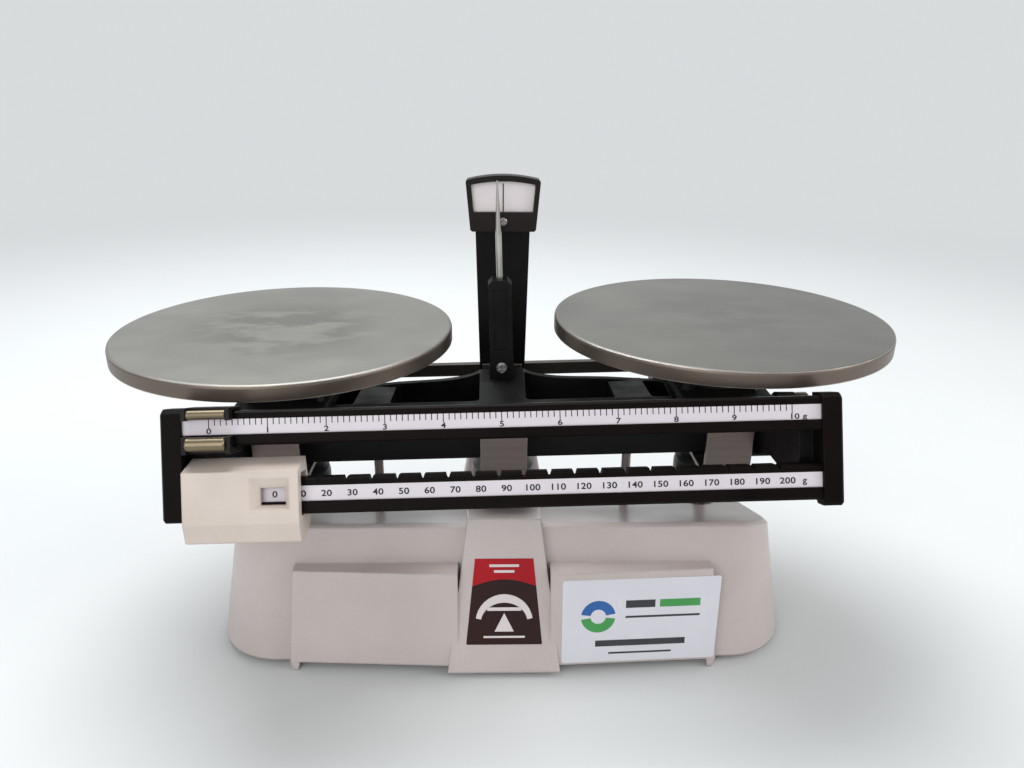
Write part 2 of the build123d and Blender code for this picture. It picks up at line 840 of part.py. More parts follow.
def make_upper_carrier():
    """Two cheeks round the upper bar, joined behind, above and below it."""
    inner_out = beam_lip - beam_setback + slide_gap
    inner_back = -beam_setback - graduated_depth - slide_gap
    back = inner_back - upper_poise_wall
    high = upper_beam_start - slide_gap - upper_poise_wall / 2
    low = upper_beam_end + slide_gap + upper_poise_wall
    x0 = upper_poise_left
    x1 = x0 + upper_poise_width
    ring = face_block(x0, x1, high, low, back, upper_poise_front)
    ring -= face_block(x0 - 1, x1 + 1, upper_beam_start - slide_gap, upper_beam_end + slide_gap,
                       inner_back, inner_out)
    ring -= face_block(x0 + upper_cheek, x1 - upper_cheek, high - 1, low + 1, inner_out - slide_gap,
                       upper_poise_front + 1)
    return ring - face_block(x0 - 1, x1 + 1, reading_gap_top, reading_gap_bottom, inner_out - beam_lip,
                             upper_poise_front + 1)


def make_upper_rods():
    """The two brass rods between the cheeks."""
    length = upper_poise_width - 2 * upper_cheek
    middle = upper_poise_left + upper_poise_width / 2
    rods = []
    for down, diameter in ((upper_rod_drop, upper_rod_diameter), (lower_rod_drop, lower_rod_diameter)):
        rod = Rot(0, 90, 0) * Cylinder(diameter / 2, length)
        rod = chamfer(rod.edges(), rod_bevel)
        out = -beam_setback + rod_stand_off + diameter / 2
        rods.append(front.location * Pos(middle, -down, out) * rod)
    return rods


def make_tare_beam():
    half = tare_beam_thickness / 2
    return block(-arm_outer, arm_outer, tare_reach - half, tare_reach + half, tare_low, tare_top)


def make_tare_poise():
    x0 = arm_length - tare_poise_margin
    x1 = x0 + tare_poise_width
    y0 = tare_reach - tare_beam_thickness / 2 - slide_gap
    y1 = tare_reach + tare_beam_thickness / 2 + slide_gap
    case = block(x0, x1, y0 - tare_poise_front, y1 + tare_poise_back, tare_low - tare_poise_below,
                 tare_top + tare_poise_above)
    case = chamfer(case.edges().filter_by(Axis.X), tare_poise_bevel)
    return case - block(x0 - 1, x1 + 1, y0, y1, tare_low - slide_gap, tare_top + slide_gap)


# Pan parts, modelled level at X = 0

def make_carrier():
    low = bracket_top + carrier_thickness
    half = carrier_width / 2
    deep = bracket_span / 2
    carrier = block(-half, half, -deep, deep, bracket_top, low)
    carrier = fillet(carrier.edges().filter_by(Axis.Z), carrier_corner)
    carrier += rod_z(neck_diameter, low, support_low)
    for angle in (45, 135, 225, 315):
        carrier += Rot(0, 0, angle) * slab(
            [(0, low), (carrier_rib_low, low), (carrier_rib_high, support_low), (0, support_low)],
            -carrier_rib / 2, carrier_rib / 2)
    return carrier


def make_support():
    disc = rod_z(support_diameter, support_low, support_low + support_thickness)
    return chamfer(disc.edges().group_by(Axis.Z)[0], support_bevel)


def make_plate():
    """A shallow inverted dish: a flat sheet with a turned-down rim, and a ring that seats on the support."""
    radius = plate_diameter / 2
    inner = radius - plate_sheet
    under = pan_height - plate_sheet
    outline = make_face(Polyline(
        (0, 0, under), (0, 0, pan_height), (radius - plate_bevel, 0, pan_height),
        (radius - plate_bevel / 4, 0, pan_height - plate_bevel / 4), (radius, 0, pan_height - plate_bevel),
        (radius, 0, plate_floor), (inner, 0, plate_floor), (inner, 0, under), close=True))
    plate = revolve(outline, Axis.Z)
    ring = rod_z(plate_ring, plate_floor, under) - rod_z(plate_ring - 4 * plate_sheet, 0, 2 * pan_height)
    return plate + ring


def make_dust_cap():
    """The bell-shaped cap that hangs from a pan bracket over the stem's hole in the base."""
    wide = cap_diameter / 2
    neck = cap_neck / 2
    bore = stem_diameter / 2 + screw_gap
    top = bracket_floor
    neck_low = top - cap_neck_height
    shoulder = neck_low - cap_shoulder_height
    roof = shoulder + cap_shoulder_height / 2
    inside = wide - cap_wall
    outline = make_face(Polyline(
        (bore, 0, top), (bore, 0, roof), (inside - cap_wall, 0, roof), (inside, 0, shoulder), (inside, 0, cap_floor),
        (wide, 0, cap_floor), (wide, 0, shoulder), (wide - 0.6, 0, (shoulder + neck_low) / 2),
        ((wide + neck) / 2, 0, neck_low - 0.8), (neck, 0, neck_low), (neck, 0, top), close=True))
    return revolve(outline, Axis.Z)


def make_stem():
    """The rod from a pan bracket down to its fork on the check link."""
    half = fork_width / 2
    slot = link_thickness / 2 + link_slot_gap
    low = link_height - fork_below
    high = link_height + fork_above
    fork = block(-half, half, -half, half, low, high)
    fork -= block(-fork_width, fork_width, -slot, slot, 0, high - fork_above / 3)
    fork -= rod_y(link_pin_diameter, -fork_width, fork_width, 0, link_height)
    return rod_z(stem_diameter, high - fork_above / 6, bracket_floor) + fork


def cross_pin(length):
    return rod_y(link_pin_diameter, -length / 2, length / 2, 0, link_height)


def make_check_link():
    half = link_thickness / 2
    bar = block(-arm_length, arm_length, -half, half, link_height - link_width / 2, link_height + link_width / 2)
    for x in (-arm_length, 0, arm_length):
        bar += rod_y(link_width, -half, half, x, link_height)
    for x in (-arm_length, 0, arm_length):
        bar -= rod_y(link_pin_diameter + 2 * running_gap, -link_width, link_width, x, link_height)
    return Pos(0, 0, link_height) * Rot(0, -rest_tilt, 0) * Pos(0, 0, -link_height) * bar


def make_link_hanger():
    """The forked lug under the spine that carries the check link's middle pin."""
    half = hanger_width / 2
    deep = hanger_depth / 2
    slot = link_thickness / 2 + link_slot_gap
    body = block(-half, half, -deep, deep, link_height - hanger_below, spine_height)
    body -= block(-hanger_width, hanger_width, -slot, slot, 0, link_height + hanger_slot)
    body -= rod_y(link_pin_diameter, -hanger_depth, hanger_depth, 0, link_height)
    return body & slope_block(-spine_top_front, spine_height - base_wall)


# Pointer

def make_pointer_holder():
    half = holder_width / 2
    wide = half + holder_flare
    knee = arch_top + holder_foot
    y0 = pointer_y - holder_depth / 2
    y1 = pointer_y + holder_depth / 2
    body = profile([(-wide, arch_top), (wide, arch_top), (half, knee), (half, holder_top - holder_bevel),
                    (half - holder_bevel, holder_top), (-half + holder_bevel, holder_top),
                    (-half, holder_top - holder_bevel), (-half, knee)], y0, y1)
    body -= rod_z(needle_diameter, holder_top - needle_seat, holder_top, 0, pointer_y)
    body -= block(-half + holder_bevel, half - holder_bevel, y0 - 1, y0 + holder_depth / 8, knee,
                  holder_top - 2 * holder_bevel)
    return body - rod_y(pointer_screw_diameter + 2 * screw_gap, y0, y1 - 1, 0, pointer_screw_z)


def make_needle():
    r = needle_diameter / 2
    z0 = holder_top - needle_seat
    outline = make_face(Polyline(
        (0, 0, z0), (r, 0, z0), (r, 0, needle_top - needle_taper), (needle_tip / 2, 0, needle_top),
        (0, 0, needle_top), close=True))
    return Pos(0, pointer_y, 0) * revolve(outline, Axis.Z)


def make_pointer_screw():
    screw = cross_head_screw(pointer_screw_diameter, holder_depth - 1 - stop_gap)
    return Pos(0, pointer_y - holder_depth / 2, pointer_screw_z) * Rot(90, 0, 0) * screw


def make_zero_stud():
    end = beam_half_length + stud_length
    stud = rod_x(stud_diameter, beam_half_length, end, 0, knife_z)
    return chamfer(stud.edges().sort_by(Axis.X)[-1], nut_bevel)


def make_zero_nut(diameter, width, start):
    """A round nut with a running fit on the stud, at a distance from the beam's end."""
    x0 = beam_half_length + start
    nut = rod_x(diameter, x0, x0 + width, 0, knife_z)
    nut = chamfer(nut.edges(), nut_bevel)
    bore = stud_diameter + 2 * running_gap
    return nut - rod_x(bore, x0 - 1, x0 + width + 1, 0, knife_z)


def build_nodes():
    nodes = {}
    nodes["base_housing"] = make_base_housing()
    nodes["rubber_feet"] = make_feet()
    nodes["fulcrum_post"] = make_fulcrum_post()
    nodes["fulcrum_bracket"] = make_bracket()
    nodes["fulcrum_bearings"] = bearing_pair(True)
    nodes["stop_posts"] = make_stop_posts()
    nodes["tower"] = make_tower()
    nodes["dial_housing"] = make_dial_housing()
    nodes["dial_face"] = make_dial_face()
    nodes["dial_screw"] = make_dial_screw()
    nodes["link_hanger"] = make_link_hanger()
    nodes["link_pivot_pin"] = cross_pin(hanger_depth)
    nodes["check_link"] = make_check_link()

    nodes["main_beam"] = with_beam(make_main_beam())
    nodes["fulcrum_knife"] = with_beam(knife(False))
    nodes["end_ballast"] = with_beam(make_ballast())
    for name, side in (("left", -1), ("right", 1)):
        nodes[name + "_knife"] = with_beam(Pos(side * arm_length, 0, 0) * knife(True))
        nodes[name + "_end_plate"] = with_beam(make_end_plate(side))
        nodes[name + "_front_arm"] = with_beam(make_front_arm(side))
        nodes[name + "_rear_arm"] = with_beam(make_rear_arm(side))
    nodes["arm_screws"] = Compound([with_beam(s) for s in make_arm_screws()])
    nodes["upper_beam"] = with_beam(graduated_bar(upper_beam_start, upper_strip_start, upper_beam_end))
    nodes["lower_beam"] = with_beam(make_lower_beam())
    nodes["upper_scale_strip"] = with_beam(make_strip(upper_strip_start))
    nodes["lower_scale_strip"] = with_beam(make_strip(lower_strip_start))
    nodes["tare_beam"] = with_beam(make_tare_beam())
    nodes["pointer_holder"] = with_beam(make_pointer_holder())
    nodes["pointer_needle"] = with_beam(make_needle())
    nodes["pointer_screw"] = with_beam(make_pointer_screw())
    nodes["zero_stud"] = with_beam(make_zero_stud())
    nodes["zero_nut"] = with_beam(make_zero_nut(nut_diameter, nut_width, nut_offset))
    lock_start = nut_offset + nut_width + seat_gap
    nodes["zero_lock_nut"] = with_beam(make_zero_nut(lock_nut_diameter, lock_nut_width, lock_start))
    nodes["lower_poise_case"] = with_beam(make_lower_poise())
    nodes["lower_poise_detent"] = with_beam(make_lower_detent())
    nodes["upper_poise_carrier"] = with_beam(make_upper_carrier())
    nodes["upper_poise_rods"] = Compound([with_beam(r) for r in make_upper_rods()])
    nodes["tare_poise"] = with_beam(make_tare_poise())

    for name, side in (("left", -1), ("right", 1)):
        nodes[name + "_pan_bracket"] = with_pan(side, make_bracket())
        nodes[name + "_bearings"] = with_pan(side, bearing_pair(False))
        nodes[name + "_carrier"] = with_pan(side, make_carrier())
        nodes[name + "_plate_support"] = with_pan(side, make_support())
        nodes[name + "_stem"] = with_pan(side, make_stem())
        nodes[name + "_dust_cap"] = with_pan(side, make_dust_cap())
        nodes[name + "_stem_pin"] = with_pan(side, cross_pin(fork_width))
        nodes[name + "_plate"] = with_pan(side, make_plate())
    return nodes


def main():
    os.makedirs("parts", exist_ok=True)
    poise_front = face_point(lower_poise_brow, lower_poise_front)[0]
    centre = (poise_front + plate_diameter / 2) / 2
    for name, shape in build_nodes().items():
        export_step(Pos(0, -centre, 0) * shape, os.path.join("parts", name + ".step"))


main()
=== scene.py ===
from math import cos, pi, radians, sin

import bmesh
import bpy
from mathutils import Matrix, Vector
from mathutils.bvhtree import BVHTree


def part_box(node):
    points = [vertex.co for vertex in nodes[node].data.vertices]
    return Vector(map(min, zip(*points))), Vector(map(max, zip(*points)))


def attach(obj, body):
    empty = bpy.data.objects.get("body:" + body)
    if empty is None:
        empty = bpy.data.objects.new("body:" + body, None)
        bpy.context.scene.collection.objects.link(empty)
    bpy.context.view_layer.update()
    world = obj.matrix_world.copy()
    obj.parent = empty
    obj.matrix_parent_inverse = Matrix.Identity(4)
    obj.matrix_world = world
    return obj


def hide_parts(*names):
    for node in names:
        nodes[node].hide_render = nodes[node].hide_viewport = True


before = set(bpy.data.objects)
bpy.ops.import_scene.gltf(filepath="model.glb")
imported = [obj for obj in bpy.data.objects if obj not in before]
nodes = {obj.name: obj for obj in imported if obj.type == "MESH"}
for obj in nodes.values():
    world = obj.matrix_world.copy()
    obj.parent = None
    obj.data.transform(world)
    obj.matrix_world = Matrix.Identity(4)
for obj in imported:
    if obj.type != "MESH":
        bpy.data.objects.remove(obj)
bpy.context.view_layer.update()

# Lengths are in millimetres, and the sizes of shader effects in metres. X runs to the right along the
# beam, Y to the back and Z up from the table. level moves a place given from the fulcrum edge into the
# frame, and tilted does the same for what turns with the beam, which rests a little down on its left side.
mm = 0.001
balance = {"tilt": 1.5, "knifeZ": 95.0, "arm": 100.2, "plateTop": 140.7}
plateLow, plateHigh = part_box("left_plate")
fulcrumY = (plateLow.y + plateHigh.y) / 2 / mm
level = Matrix.Translation(Vector((0, fulcrumY, 0)) * mm)
pivot = Matrix.Translation(Vector((0, 0, balance["knifeZ"])) * mm)
tilted = level @ pivot @ Matrix.Rotation(radians(-balance["tilt"]), 4, "Y") @ pivot.inverted()


# The sloping front that carries both graduated bars
frontFace = {"y": -85.0, "z": 135.7, "slope": 20.25, "setback": 1.5}
lean = radians(frontFace["slope"])
faceTurn = Matrix((
    (1, 0, 0, 0),
    (0, sin(lean), -cos(lean), 0),
    (0, cos(lean), sin(lean), 0),
    (0, 0, 0, 1)))
onFace = tilted @ Matrix.Translation(Vector((0, frontFace["y"], frontFace["z"])) * mm) @ faceTurn


# Mesh helpers

def pieceFrom(name, bm, material, place=None, sheet=False):
    mesh = bpy.data.meshes.new(name)
    if not sheet:
        bmesh.ops.recalc_face_normals(bm, faces=bm.faces)
    bm.to_mesh(mesh)
    bm.free()
    mesh.transform(Matrix.Diagonal((mm, mm, mm, 1)))
    if place is not None:
        mesh.transform(place)
    piece = bpy.data.objects.new(name, mesh)
    bpy.context.scene.collection.objects.link(piece)
    piece.data.materials.append(material)
    return piece


def addBlock(bm, x0, x1, y0, y1, z0, z1):
    corners = [(x, y, z) for z in (z0, z1) for x, y in ((x0, y0), (x1, y0), (x1, y1), (x0, y1))]
    verts = [bm.verts.new(c) for c in corners]
    for ring in ((0, 3, 2, 1), (4, 5, 6, 7), (0, 1, 5, 4), (1, 2, 6, 5), (2, 3, 7, 6), (3, 0, 4, 7)):
        bm.faces.new([verts[i] for i in ring])


def placed(piece, body, *replaced, slot=None):
    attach(piece, body)
    if replaced:
        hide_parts(*replaced)


# Shared shader effects

def newGroup(name, inputs, outputs):
    group = bpy.data.node_groups.new(name, "ShaderNodeTree")
    for label, kind, value in inputs:
        socket = group.interface.new_socket(label, in_out="INPUT", socket_type=kind)
        socket.default_value = value
    for label, kind in outputs:
        group.interface.new_socket(label, in_out="OUTPUT", socket_type=kind)
    start = group.nodes.new("NodeGroupInput")
    end = group.nodes.new("NodeGroupOutput")
    return group, start, end


def addNode(tree, kind, **values):
    node = tree.nodes.new(kind)
    for key, value in values.items():
        if key.startswith("in_"):
            node.inputs[key[3:].replace("_", " ")].default_value = value
        else:
            setattr(node, key, value)
    return node


def ramp(tree, source, stops):
    node = tree.nodes.new("ShaderNodeValToRGB")
    for element, (place, shade) in zip(node.color_ramp.elements, stops):
        element.position = place
        element.color = (shade, shade, shade, 1)
    tree.links.new(source, node.inputs["Fac"])
    return node.outputs["Color"]


def multiplied(tree, first, second):
    node = addNode(tree, "ShaderNodeMath", operation="MULTIPLY")
    tree.links.new(first, node.inputs[0])
    if isinstance(second, bpy.types.NodeSocket):
        tree.links.new(second, node.inputs[1])
    else:
        node.inputs[1].default_value = second
    return node.outputs["Value"]


grainNoise = {"roughness": 0.55, "detail": {"Fine": 3.0, "Broad": 5.0}}


def makeGrainGroup():
    # Two octaves of noise in object space, for casting skin, orange peel and speckle
    group, start, end = newGroup(
        "castGrain",
        [("Fine Scale", "NodeSocketFloat", 900.0), ("Broad Scale", "NodeSocketFloat", 60.0),
         ("Stretch", "NodeSocketVector", (1.0, 1.0, 1.0))],
        [("Fine", "NodeSocketFloat"), ("Broad", "NodeSocketFloat")])
    place = addNode(group, "ShaderNodeTexCoord")
    stretch = addNode(group, "ShaderNodeVectorMath", operation="MULTIPLY")
    group.links.new(place.outputs["Object"], stretch.inputs[0])
    group.links.new(start.outputs["Stretch"], stretch.inputs[1])
    for label, detail in grainNoise["detail"].items():
        noise = addNode(group, "ShaderNodeTexNoise", in_Detail=detail, in_Roughness=grainNoise["roughness"])
        group.links.new(stretch.outputs[0], noise.inputs["Vector"])
        group.links.new(start.outputs[label + " Scale"], noise.inputs["Scale"])
        group.links.new(noise.outputs["Fac"], end.inputs[label])
    return group


# start and full say how far the softened normal leans from the face, where an edge begins and where it
# is full, and gateFull is the noise at which a patch of the lighter edge, partly wear and partly painted
# highlight, is full
edgeLook = {"start": 0.995, "full": 0.86, "gateFull": 0.7, "samples": 6, "noiseDetail": 4.0}


def makeEdgeGroup():
    # Lighter along outer edges: partly paint rubbed off, partly a painted highlight where edges catch the
    # light
    group, start, end = newGroup(
        "edgeWearAndHighlight",
        [("Radius", "NodeSocketFloat", 0.0006), ("Breakup", "NodeSocketFloat", 0.5),
         ("Scale", "NodeSocketFloat", 180.0)],
        [("Mask", "NodeSocketFloat"), ("Normal", "NodeSocketVector")])
    bevel = addNode(group, "ShaderNodeBevel", samples=edgeLook["samples"])
    group.links.new(start.outputs["Radius"], bevel.inputs["Radius"])
    shape = addNode(group, "ShaderNodeNewGeometry")
    dot = addNode(group, "ShaderNodeVectorMath", operation="DOT_PRODUCT")
    group.links.new(bevel.outputs["Normal"], dot.inputs[0])
    group.links.new(shape.outputs["Normal"], dot.inputs[1])
    edge = addNode(group, "ShaderNodeMapRange", clamp=True)
    edge.inputs["From Min"].default_value = edgeLook["start"]
    edge.inputs["From Max"].default_value = edgeLook["full"]
    group.links.new(dot.outputs["Value"], edge.inputs["Value"])
    place = addNode(group, "ShaderNodeTexCoord")
    noise = addNode(group, "ShaderNodeTexNoise", in_Detail=edgeLook["noiseDetail"])
    group.links.new(place.outputs["Object"], noise.inputs["Vector"])
    group.links.new(start.outputs["Scale"], noise.inputs["Scale"])
    gate = addNode(group, "ShaderNodeMapRange", clamp=True)
    gate.inputs["From Max"].default_value = edgeLook["gateFull"]
    group.links.new(noise.outputs["Fac"], gate.inputs["Value"])
    group.links.new(start.outputs["Breakup"], gate.inputs["From Min"])
    edgeMask = multiplied(group, edge.outputs["Result"], gate.outputs["Result"])
    group.links.new(edgeMask, end.inputs["Mask"])
    group.links.new(bevel.outputs["Normal"], end.inputs["Normal"])
    return group


castGrain = makeGrainGroup()
edgeWearAndHighlight = makeEdgeGroup()


def placeGroup(tree, group, **values):
    node = tree.nodes.new("ShaderNodeGroup")
    node.node_tree = group
    for key, value in values.items():
        node.inputs[key.replace("_", " ")].default_value = value
    return node


def mixColour(tree, factor, first, second):
    node = addNode(tree, "ShaderNodeMix", data_type="RGBA")
    for socket, value in ((node.inputs[0], factor), (node.inputs[6], first), (node.inputs[7], second)):
        if isinstance(value, bpy.types.NodeSocket):
            tree.links.new(value, socket)
        elif isinstance(value, tuple):
            socket.default_value = (*value, 1)
        else:
            socket.default_value = value
    return node.outputs[2]


# What a finish has unless its own entry says otherwise
plainSurface = {"fineScale": 900.0, "broadScale": 60.0, "stretch": (1.0, 1.0, 1.0), "edgeRadius": 0.0005,
                "breakup": 0.35, "wearScale": 180.0, "speck": 0.25, "wearAndHighlight": 0.5, "metal": 0.0,
                "specular": 0.35, "coat": 0.0, "coatRough": 0.2, "bump": 0.15, "bumpDepth": 0.0001,
                "cloudSpan": (0.3, 0.7), "speckSpan": (0.35, 0.75)}


def finish(name, ownLook):
    # A surface with colour clouds, a fine grain, roughness patches and lighter edges, partly wear and partly
    # painted highlight
    look = {**plainSurface, "speckColour": ownLook["shade"], "wornAndHighlightColour": ownLook["colour"], **ownLook}
    material = bpy.data.materials.new(name)
    material.use_nodes = True
    tree = material.node_tree
    shader = tree.nodes["Principled BSDF"]
    grain = placeGroup(tree, castGrain, Fine_Scale=look["fineScale"], Broad_Scale=look["broadScale"],
                       Stretch=look["stretch"])
    edgeMask = placeGroup(tree, edgeWearAndHighlight, Radius=look["edgeRadius"], Breakup=look["breakup"],
                      Scale=look["wearScale"])
    thin, thick = look["cloudSpan"]
    clouds = ramp(tree, grain.outputs["Broad"], [(thin, 0.0), (thick, 1.0)])
    colour = mixColour(tree, clouds, look["colour"], look["shade"])
    rare, common = look["speckSpan"]
    speck = ramp(tree, grain.outputs["Fine"], [(rare, 0.0), (common, look["speck"])])
    colour = mixColour(tree, speck, colour, look["speckColour"])
    # Lighter edges: partly rubbed paint, partly a painted highlight
    edges = multiplied(tree, edgeMask.outputs["Mask"], look["wearAndHighlight"])
    colour = mixColour(tree, edges, colour, look["wornAndHighlightColour"])
    tree.links.new(colour, shader.inputs["Base Color"])
    rough = addNode(tree, "ShaderNodeMapRange")
    rough.inputs["From Min"].default_value = thin
    rough.inputs["From Max"].default_value = thick
    rough.inputs["To Min"].default_value, rough.inputs["To Max"].default_value = look["rough"]
    tree.links.new(grain.outputs["Broad"], rough.inputs["Value"])
    tree.links.new(rough.outputs["Result"], shader.inputs["Roughness"])
    shader.inputs["Metallic"].default_value = look["metal"]
    shader.inputs["Specular IOR Level"].default_value = look["specular"]
    shader.inputs["Coat Weight"].default_value = look["coat"]
    shader.inputs["Coat Roughness"].default_value = look["coatRough"]
    bump = addNode(tree, "ShaderNodeBump", in_Strength=look["bump"], in_Distance=look["bumpDepth"])
    tree.links.new(grain.outputs["Fine"], bump.inputs["Height"])
    tree.links.new(edgeMask.outputs["Normal"], bump.inputs["Normal"])
    tree.links.new(bump.outputs["Normal"], shader.inputs["Normal"])
    return material


# The edge colour of each finish is lighter than its body: partly rubbed paint, partly a painted highlight
looks = {
    "housingEnamel": {"colour": (0.590, 0.520, 0.503), "shade": (0.510, 0.440, 0.420), "rough": (0.28, 0.5),
                      "speck": 0.22, "bump": 0.14, "broadScale": 18.0, "edgeRadius": 0.0016, "specular": 0.45,
                      "fineScale": 1100.0, "speckColour": (0.40, 0.34, 0.31), "coat": 0.12,
                      "wornAndHighlightColour": (0.70, 0.63, 0.61), "wearAndHighlight": 0.5, "breakup": 0.2},
    "castBlack": {"colour": (0.0035, 0.0037, 0.0036), "shade": (0.007, 0.007, 0.007), "rough": (0.34, 0.58),
                  "bump": 0.4, "speckColour": (0.02, 0.02, 0.02), "wornAndHighlightColour": (0.05, 0.05, 0.048),
                  "wearAndHighlight": 0.7, "specular": 0.12},
    "barBlack": {"colour": (0.0042, 0.0030, 0.0027), "shade": (0.0075, 0.0050, 0.0045), "rough": (0.28, 0.46),
                 "bump": 0.15, "wornAndHighlightColour": (0.035, 0.026, 0.024), "wearAndHighlight": 0.5, "specular": 0.04},
    "bracketSteel": {"colour": (0.115, 0.090, 0.084), "shade": (0.155, 0.125, 0.118), "rough": (0.34, 0.48),
                     "metal": 0.85, "stretch": (0.06, 1.0, 8.0), "bump": 0.2, "wornAndHighlightColour": (0.5, 0.46, 0.42),
                     "wearAndHighlight": 1.0, "breakup": 0.0},
    "bearingSteel": {"colour": (0.42, 0.42, 0.43), "shade": (0.34, 0.34, 0.35), "rough": (0.25, 0.4),
                     "metal": 1.0, "stretch": (8.0, 1.0, 0.2), "bump": 0.15},
    "polishedSteel": {"colour": (0.58, 0.55, 0.53), "shade": (0.45, 0.42, 0.40), "rough": (0.14, 0.28),
                      "metal": 1.0, "bump": 0.05},
    "tareGrey": {"colour": (0.085, 0.078, 0.066), "shade": (0.055, 0.050, 0.043), "rough": (0.34, 0.5),
                 "metal": 0.5, "wornAndHighlightColour": (0.22, 0.20, 0.17), "wearAndHighlight": 0.7},
    "linkSteel": {"colour": (0.36, 0.35, 0.34), "shade": (0.25, 0.24, 0.23), "rough": (0.35, 0.55),
                  "metal": 0.9},
    "capDark": {"colour": (0.020, 0.022, 0.020), "shade": (0.032, 0.036, 0.033), "rough": (0.35, 0.5),
                "bump": 0.1, "wornAndHighlightColour": (0.09, 0.1, 0.095), "wearAndHighlight": 0.4, "specular": 0.3},
    "postGrey": {"colour": (0.16, 0.15, 0.145), "shade": (0.11, 0.105, 0.10), "rough": (0.35, 0.5),
                 "bump": 0.1, "wornAndHighlightColour": (0.3, 0.29, 0.28), "wearAndHighlight": 0.5},
    "carrierGrey": {"colour": (0.018, 0.019, 0.018), "shade": (0.030, 0.032, 0.030), "rough": (0.4, 0.6),
                    "bump": 0.3, "wornAndHighlightColour": (0.09, 0.09, 0.086), "wearAndHighlight": 0.6, "specular": 0.25},
    "dialDark": {"colour": (0.010, 0.0075, 0.007), "shade": (0.017, 0.012, 0.011), "rough": (0.35, 0.5),
                 "wornAndHighlightColour": (0.05, 0.048, 0.045), "wearAndHighlight": 0.6, "specular": 0.15},
    "dialWhite": {"colour": (0.84, 0.77, 0.78), "shade": (0.79, 0.72, 0.73), "rough": (0.4, 0.5),
                  "bump": 0.03, "speck": 0.1},
    "stripWhite": {"colour": (0.70, 0.65, 0.69), "shade": (0.66, 0.61, 0.65), "rough": (0.3, 0.42),
                   "bump": 0.03, "speck": 0.12},
    "screwSteel": {"colour": (0.42, 0.40, 0.38), "shade": (0.28, 0.26, 0.25), "rough": (0.25, 0.42),
                   "metal": 1.0, "wornAndHighlightColour": (0.6, 0.58, 0.55)},
    "brass": {"colour": (0.235, 0.195, 0.130), "shade": (0.165, 0.135, 0.09), "rough": (0.22, 0.4),
              "metal": 1.0, "stretch": (0.2, 6.0, 6.0), "wornAndHighlightColour": (0.42, 0.36, 0.25), "wearAndHighlight": 0.7,
              "breakup": 0.1},
    "poiseCream": {"colour": (0.66, 0.57, 0.51), "shade": (0.59, 0.50, 0.44), "rough": (0.26, 0.42),
                   "bump": 0.10, "coat": 0.1, "edgeRadius": 0.0010, "wornAndHighlightColour": (0.74, 0.66, 0.60),
                   "wearAndHighlight": 0.4},
    "poiseBlack": {"colour": (0.006, 0.0045, 0.004), "shade": (0.011, 0.008, 0.008), "rough": (0.35, 0.5),
                   "bump": 0.15, "wornAndHighlightColour": (0.09, 0.075, 0.065), "wearAndHighlight": 0.6, "specular": 0.15},
    "rubber": {"colour": (0.008, 0.008, 0.008), "shade": (0.014, 0.014, 0.014), "rough": (0.7, 0.85),
               "bump": 0.3, "specular": 0.2},
    "iron": {"colour": (0.05, 0.048, 0.045), "shade": (0.09, 0.06, 0.045), "rough": (0.6, 0.8), "bump": 0.5,
             "metal": 0.5},
    "nutDark": {"colour": (0.010, 0.011, 0.010), "shade": (0.018, 0.02, 0.018), "rough": (0.35, 0.5),
                "metal": 0.3, "wornAndHighlightColour": (0.10, 0.11, 0.09), "wearAndHighlight": 0.7, "specular": 0.2},
}
# Print is flat, so it has hardly any softened edge
printEdge = 0.00002
prints = {
    "inkBlack": {"colour": (0.012, 0.010, 0.014), "shade": (0.02, 0.018, 0.022), "rough": (0.45, 0.55),
                 "bump": 0.02, "wearAndHighlight": 0.0, "specular": 0.2},
    "labelRed": {"colour": (0.44, 0.008, 0.016), "shade": (0.36, 0.007, 0.012), "rough": (0.28, 0.4),
                 "bump": 0.04, "wearAndHighlight": 0.1, "specular": 0.2},
    "labelMaroon": {"colour": (0.030, 0.009, 0.008), "shade": (0.022, 0.007, 0.007), "rough": (0.28, 0.4),
                    "bump": 0.04, "wearAndHighlight": 0.1, "specular": 0.2},
    "labelPale": {"colour": (0.72, 0.66, 0.66), "shade": (0.68, 0.62, 0.62), "rough": (0.3, 0.42),
                  "bump": 0.04, "wearAndHighlight": 0.1},
    "stickerWhite": {"colour": (0.70, 0.69, 0.74), "shade": (0.66, 0.65, 0.70), "rough": (0.25, 0.4),
                     "bump": 0.05, "wearAndHighlight": 0.1},
    "stickerBlue": {"colour": (0.03, 0.13, 0.40), "shade": (0.02, 0.10, 0.33), "rough": (0.3, 0.4),
                    "wearAndHighlight": 0.0},
    "stickerGreen": {"colour": (0.07, 0.34, 0.09), "shade": (0.05, 0.28, 0.07), "rough": (0.3, 0.4),
                     "wearAndHighlight": 0.0},
    "stickerInk": {"colour": (0.03, 0.03, 0.035), "shade": (0.05, 0.05, 0.055), "rough": (0.3, 0.4),
                   "wearAndHighlight": 0.0},
}
for look in prints.values():
    look["edgeRadius"] = printEdge
looks.update(prints)
materials = {name: finish(name, look) for name, look in looks.items()}
print("materials", len(materials))


